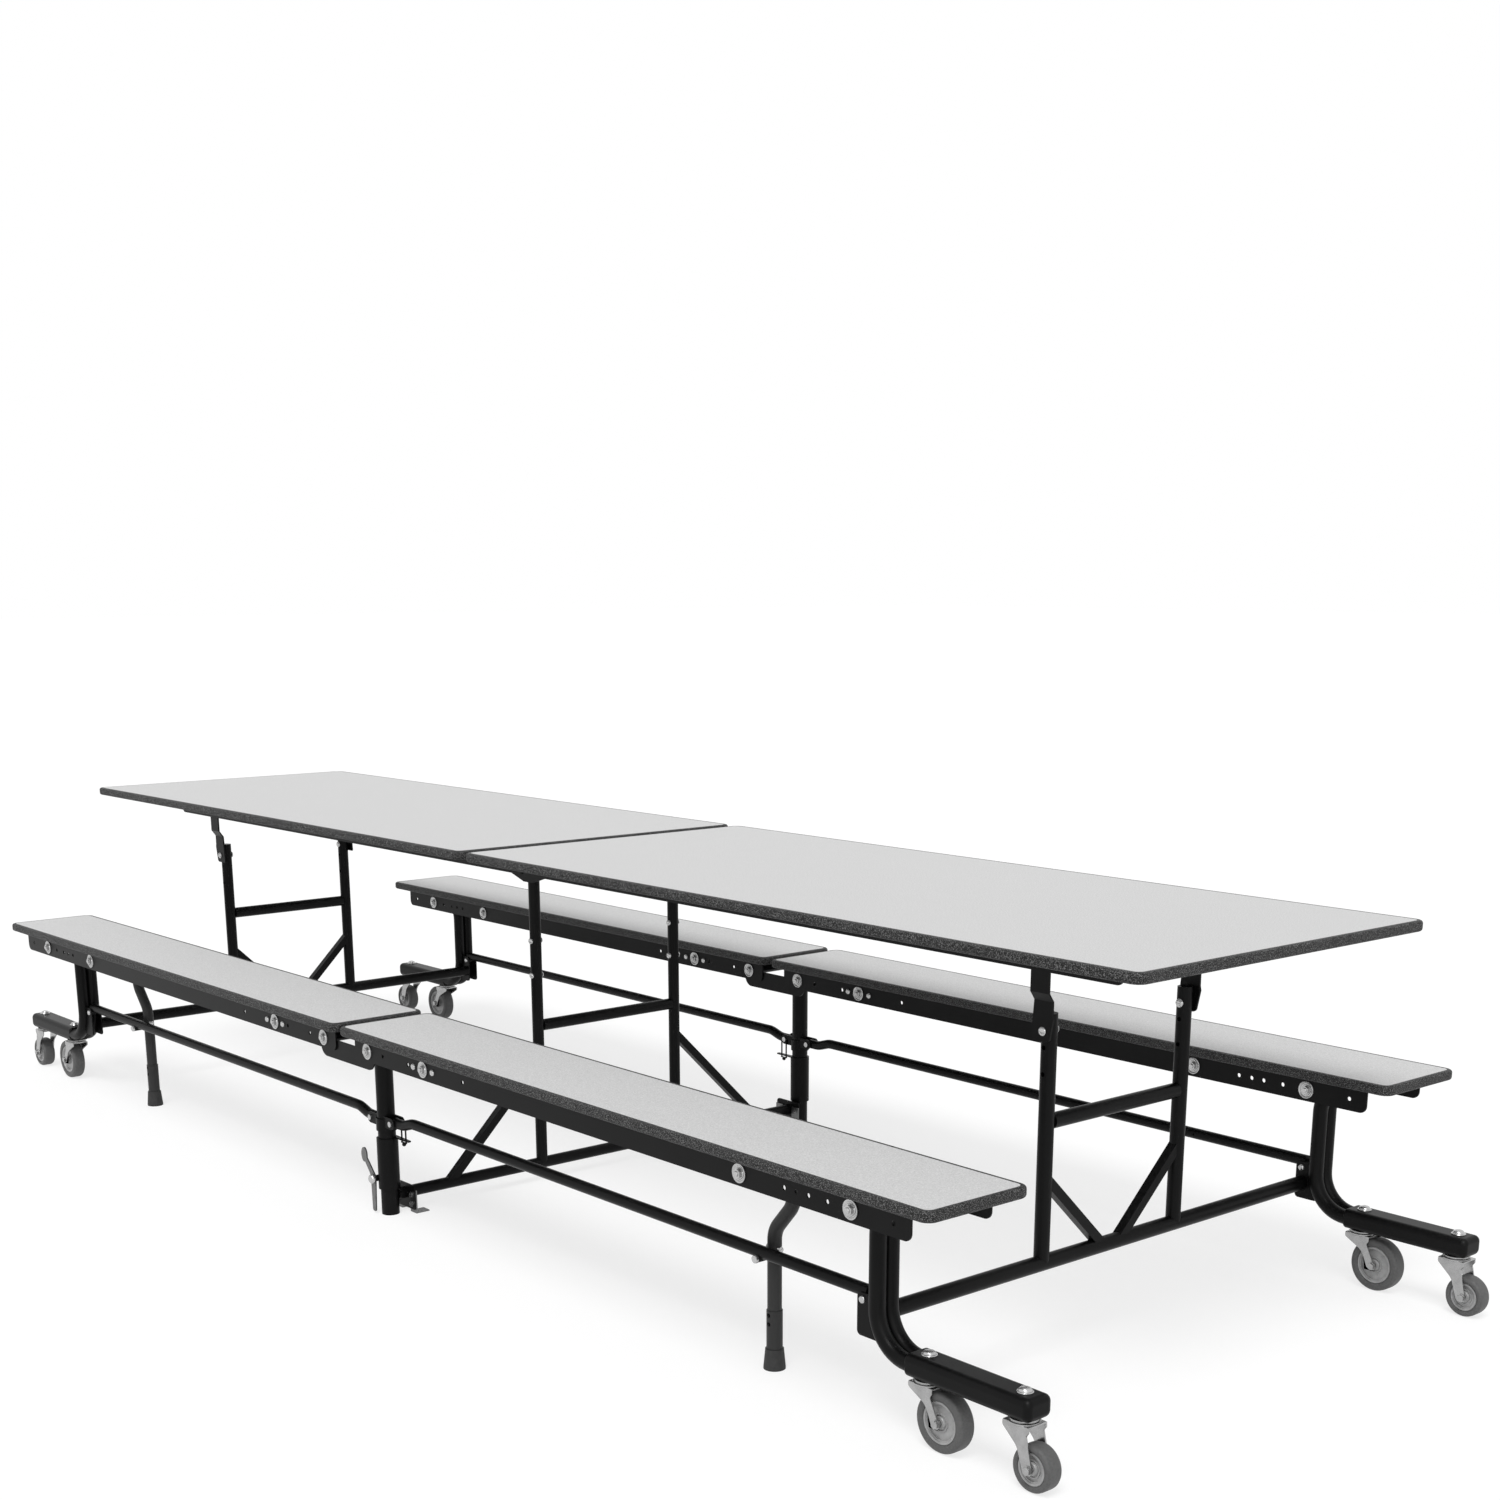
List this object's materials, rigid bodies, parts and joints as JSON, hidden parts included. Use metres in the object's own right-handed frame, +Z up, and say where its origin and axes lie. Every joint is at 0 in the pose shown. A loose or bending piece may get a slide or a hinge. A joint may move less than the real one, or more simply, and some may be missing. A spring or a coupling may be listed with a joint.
{
  "type": "folding cafeteria table",
  "caption": "Long mobile dining table with two attached benches on a folding tube frame, with casters at the ends and legs at the middle.",
  "frame": {"origin": "on the floor under the centre of the table", "axes": "+X along the table, +Y across it towards the far bench, +Z up"},
  "size_m": [3.7902, 1.401, 0.757],
  "materials": {
    "laminate": "matt speckled laminate on a wood core",
    "edge_band": "matt sprayed edge",
    "black_powder_coat": "satin powder coat",
    "zinc": "zinc plated",
    "wheel_rubber": "matt grey rubber"
  },
  "bodies": {
    "left_end_frame": {"end_frame_left": "black_powder_coat", "hinge_straps_left": "black_powder_coat", "end_frame_bolts_left": "zinc"},
    "table_left": {"table_board_left": "laminate", "table_edge_left": "edge_band", "table_rails_left": "black_powder_coat"},
    "right_end_frame": {"end_frame_right": "black_powder_coat", "hinge_straps_right": "black_powder_coat", "end_frame_bolts_right": "zinc"},
    "table_right": {"table_board_right": "laminate", "table_edge_right": "edge_band", "table_rails_right": "black_powder_coat"},
    "bench_near_left": {"bench_board_near_left": "laminate", "bench_edge_near_left": "edge_band", "bench_rails_near_left": "black_powder_coat", "bench_bolts_near_left": "zinc"},
    "stretcher_near_left": {"stretcher_near_left": "black_powder_coat"},
    "mid_leg_near_left": {"mid_leg_near_left": "black_powder_coat"},
    "fork_inner_near_left": {"fork_inner_near_left": "zinc"},
    "wheel_inner_near_left": {"wheel_inner_near_left": "wheel_rubber"},
    "fork_outer_near_left": {"fork_outer_near_left": "zinc"},
    "wheel_outer_near_left": {"wheel_outer_near_left": "wheel_rubber"},
    "bench_near_right": {"bench_board_near_right": "laminate", "bench_edge_near_right": "edge_band", "bench_rails_near_right": "black_powder_coat", "bench_bolts_near_right": "zinc"},
    "stretcher_near_right": {"stretcher_near_right": "black_powder_coat"},
    "mid_leg_near_right": {"mid_leg_near_right": "black_powder_coat"},
    "fork_inner_near_right": {"fork_inner_near_right": "zinc"},
    "wheel_inner_near_right": {"wheel_inner_near_right": "wheel_rubber"},
    "fork_outer_near_right": {"fork_outer_near_right": "zinc"},
    "wheel_outer_near_right": {"wheel_outer_near_right": "wheel_rubber"},
    "bench_far_left": {"bench_board_far_left": "laminate", "bench_edge_far_left": "edge_band", "bench_rails_far_left": "black_powder_coat", "bench_bolts_far_left": "zinc"},
    "stretcher_far_left": {"stretcher_far_left": "black_powder_coat"},
    "fork_inner_far_left": {"fork_inner_far_left": "zinc"},
    "wheel_inner_far_left": {"wheel_inner_far_left": "wheel_rubber"},
    "fork_outer_far_left": {"fork_outer_far_left": "zinc"},
    "wheel_outer_far_left": {"wheel_outer_far_left": "wheel_rubber"},
    "bench_far_right": {"bench_board_far_right": "laminate", "bench_edge_far_right": "edge_band", "bench_rails_far_right": "black_powder_coat", "bench_bolts_far_right": "zinc"},
    "stretcher_far_right": {"stretcher_far_right": "black_powder_coat"},
    "fork_inner_far_right": {"fork_inner_far_right": "zinc"},
    "wheel_inner_far_right": {"wheel_inner_far_right": "wheel_rubber"},
    "fork_outer_far_right": {"fork_outer_far_right": "zinc"},
    "wheel_outer_far_right": {"wheel_outer_far_right": "wheel_rubber"},
    "centre_frame": {"centre_frame": "black_powder_coat", "bench_hinge_posts": "black_powder_coat", "leg_collars": "black_powder_coat", "centre_bolts": "zinc", "floor_glides": "zinc", "lock_pins": "zinc"},
    "lock_lever": {"lock_lever": "zinc"}
  },
  "joints": [
    {"name": "fold", "type": "hinge", "parent": "centre_frame", "child": "bench_near_left", "pos_m": [-0.09, -0.588, 0.384], "axis": [0, -1, 0], "range_deg": [0, 90]},
    {"name": "fold_bench_near_right", "type": "hinge", "parent": "centre_frame", "child": "bench_near_right", "pos_m": [0.09, -0.588, 0.384], "axis": [0, 1, 0], "range_deg": [0, 90]},
    {"name": "fold_bench_far_left", "type": "hinge", "parent": "centre_frame", "child": "bench_far_left", "pos_m": [-0.09, 0.588, 0.384], "axis": [0, -1, 0], "range_deg": [0, 90]},
    {"name": "fold_stretcher_near_left", "type": "hinge", "parent": "centre_frame", "child": "stretcher_near_left", "pos_m": [-0.041, -0.588, 0.2075], "axis": [0, -1, 0], "range_deg": [0, 90]},
    {"name": "fold_stretcher_far_left", "type": "hinge", "parent": "centre_frame", "child": "stretcher_far_left", "pos_m": [-0.041, 0.588, 0.2075], "axis": [0, -1, 0], "range_deg": [0, 90]},
    {"name": "fold_table_left", "type": "hinge", "parent": "centre_frame", "child": "table_left", "pos_m": [-0.042, 0, 0.715], "axis": [0, -1, 0], "range_deg": [0, 90]},
    {"name": "fold_end_left", "type": "hinge", "parent": "bench_near_left", "child": "left_end_frame", "pos_m": [-1.538, -0.588, 0.384], "axis": [0, -1, 0], "range_deg": [-90, 0]},
    {"name": "fold_bench_far_right", "type": "hinge", "parent": "centre_frame", "child": "bench_far_right", "pos_m": [0.09, 0.588, 0.384], "axis": [0, 1, 0], "range_deg": [0, 90]},
    {"name": "fold_stretcher_near_right", "type": "hinge", "parent": "centre_frame", "child": "stretcher_near_right", "pos_m": [0.041, -0.588, 0.2075], "axis": [0, 1, 0], "range_deg": [0, 90]},
    {"name": "fold_stretcher_far_right", "type": "hinge", "parent": "centre_frame", "child": "stretcher_far_right", "pos_m": [0.041, 0.588, 0.2075], "axis": [0, 1, 0], "range_deg": [0, 90]},
    {"name": "fold_table_right", "type": "hinge", "parent": "centre_frame", "child": "table_right", "pos_m": [0.042, 0, 0.715], "axis": [0, 1, 0], "range_deg": [0, 90]},
    {"name": "fold_end_right", "type": "hinge", "parent": "bench_near_right", "child": "right_end_frame", "pos_m": [1.538, -0.588, 0.384], "axis": [0, 1, 0], "range_deg": [-90, 0]},
    {"name": "fold_mid_leg_near_left", "type": "hinge", "parent": "bench_near_left", "child": "mid_leg_near_left", "pos_m": [-1.272, -0.588, 0.384], "axis": [0, -1, 0], "range_deg": [-90, 0]},
    {"name": "fold_mid_leg_near_right", "type": "hinge", "parent": "bench_near_right", "child": "mid_leg_near_right", "pos_m": [1.272, -0.588, 0.384], "axis": [0, 1, 0], "range_deg": [-90, 0]},
    {"name": "swivel_inner_near_left", "type": "hinge", "parent": "left_end_frame", "child": "fork_inner_near_left", "pos_m": [-1.627, -0.588, 0.112], "axis": [0, 0, 1], "continuous": true},
    {"name": "roll_inner_near_left", "type": "hinge", "parent": "fork_inner_near_left", "child": "wheel_inner_near_left", "pos_m": [-1.665, -0.588, 0.0508], "axis": [0, 1, 0], "continuous": true},
    {"name": "swivel_outer_near_left", "type": "hinge", "parent": "left_end_frame", "child": "fork_outer_near_left", "pos_m": [-1.828, -0.588, 0.112], "axis": [0, 0, 1], "continuous": true},
    {"name": "roll_outer_near_left", "type": "hinge", "parent": "fork_outer_near_left", "child": "wheel_outer_near_left", "pos_m": [-1.857, -0.588, 0.0381], "axis": [0, 1, 0], "continuous": true},
    {"name": "swivel_inner_near_right", "type": "hinge", "parent": "right_end_frame", "child": "fork_inner_near_right", "pos_m": [1.627, -0.588, 0.112], "axis": [0, 0, 1], "continuous": true},
    {"name": "roll_inner_near_right", "type": "hinge", "parent": "fork_inner_near_right", "child": "wheel_inner_near_right", "pos_m": [1.665, -0.588, 0.0508], "axis": [0, 1, 0], "continuous": true},
    {"name": "swivel_outer_near_right", "type": "hinge", "parent": "right_end_frame", "child": "fork_outer_near_right", "pos_m": [1.828, -0.588, 0.112], "axis": [0, 0, 1], "continuous": true},
    {"name": "roll_outer_near_right", "type": "hinge", "parent": "fork_outer_near_right", "child": "wheel_outer_near_right", "pos_m": [1.857, -0.588, 0.0381], "axis": [0, 1, 0], "continuous": true},
    {"name": "swivel_inner_far_left", "type": "hinge", "parent": "left_end_frame", "child": "fork_inner_far_left", "pos_m": [-1.627, 0.588, 0.112], "axis": [0, 0, 1], "continuous": true},
    {"name": "roll_inner_far_left", "type": "hinge", "parent": "fork_inner_far_left", "child": "wheel_inner_far_left", "pos_m": [-1.665, 0.588, 0.0508], "axis": [0, 1, 0], "continuous": true},
    {"name": "swivel_outer_far_left", "type": "hinge", "parent": "left_end_frame", "child": "fork_outer_far_left", "pos_m": [-1.828, 0.588, 0.112], "axis": [0, 0, 1], "continuous": true},
    {"name": "roll_outer_far_left", "type": "hinge", "parent": "fork_outer_far_left", "child": "wheel_outer_far_left", "pos_m": [-1.857, 0.588, 0.0381], "axis": [0, 1, 0], "continuous": true},
    {"name": "swivel_inner_far_right", "type": "hinge", "parent": "right_end_frame", "child": "fork_inner_far_right", "pos_m": [1.627, 0.588, 0.112], "axis": [0, 0, 1], "continuous": true},
    {"name": "roll_inner_far_right", "type": "hinge", "parent": "fork_inner_far_right", "child": "wheel_inner_far_right", "pos_m": [1.665, 0.588, 0.0508], "axis": [0, 1, 0], "continuous": true},
    {"name": "swivel_outer_far_right", "type": "hinge", "parent": "right_end_frame", "child": "fork_outer_far_right", "pos_m": [1.828, 0.588, 0.112], "axis": [0, 0, 1], "continuous": true},
    {"name": "roll_outer_far_right", "type": "hinge", "parent": "fork_outer_far_right", "child": "wheel_outer_far_right", "pos_m": [1.857, 0.588, 0.0381], "axis": [0, 1, 0], "continuous": true},
    {"name": "lock_lever_turn", "type": "hinge", "parent": "centre_frame", "child": "lock_lever", "pos_m": [-0.021, -0.6136, 0.077], "axis": [0, 1, 0], "range_deg": [-25, 0]}
  ],
  "couplings": [
    {"joint": "fold_bench_near_right", "follows": "fold", "ratio": 1},
    {"joint": "fold_bench_far_left", "follows": "fold", "ratio": 1},
    {"joint": "fold_stretcher_near_left", "follows": "fold", "ratio": 1},
    {"joint": "fold_stretcher_far_left", "follows": "fold", "ratio": 1},
    {"joint": "fold_table_left", "follows": "fold", "ratio": 1},
    {"joint": "fold_end_left", "follows": "fold", "ratio": -1},
    {"joint": "fold_bench_far_right", "follows": "fold", "ratio": 1},
    {"joint": "fold_stretcher_near_right", "follows": "fold", "ratio": 1},
    {"joint": "fold_stretcher_far_right", "follows": "fold", "ratio": 1},
    {"joint": "fold_table_right", "follows": "fold", "ratio": 1},
    {"joint": "fold_end_right", "follows": "fold", "ratio": -1},
    {"joint": "fold_mid_leg_near_left", "follows": "fold", "ratio": -1},
    {"joint": "fold_mid_leg_near_right", "follows": "fold", "ratio": -1}
  ]
}
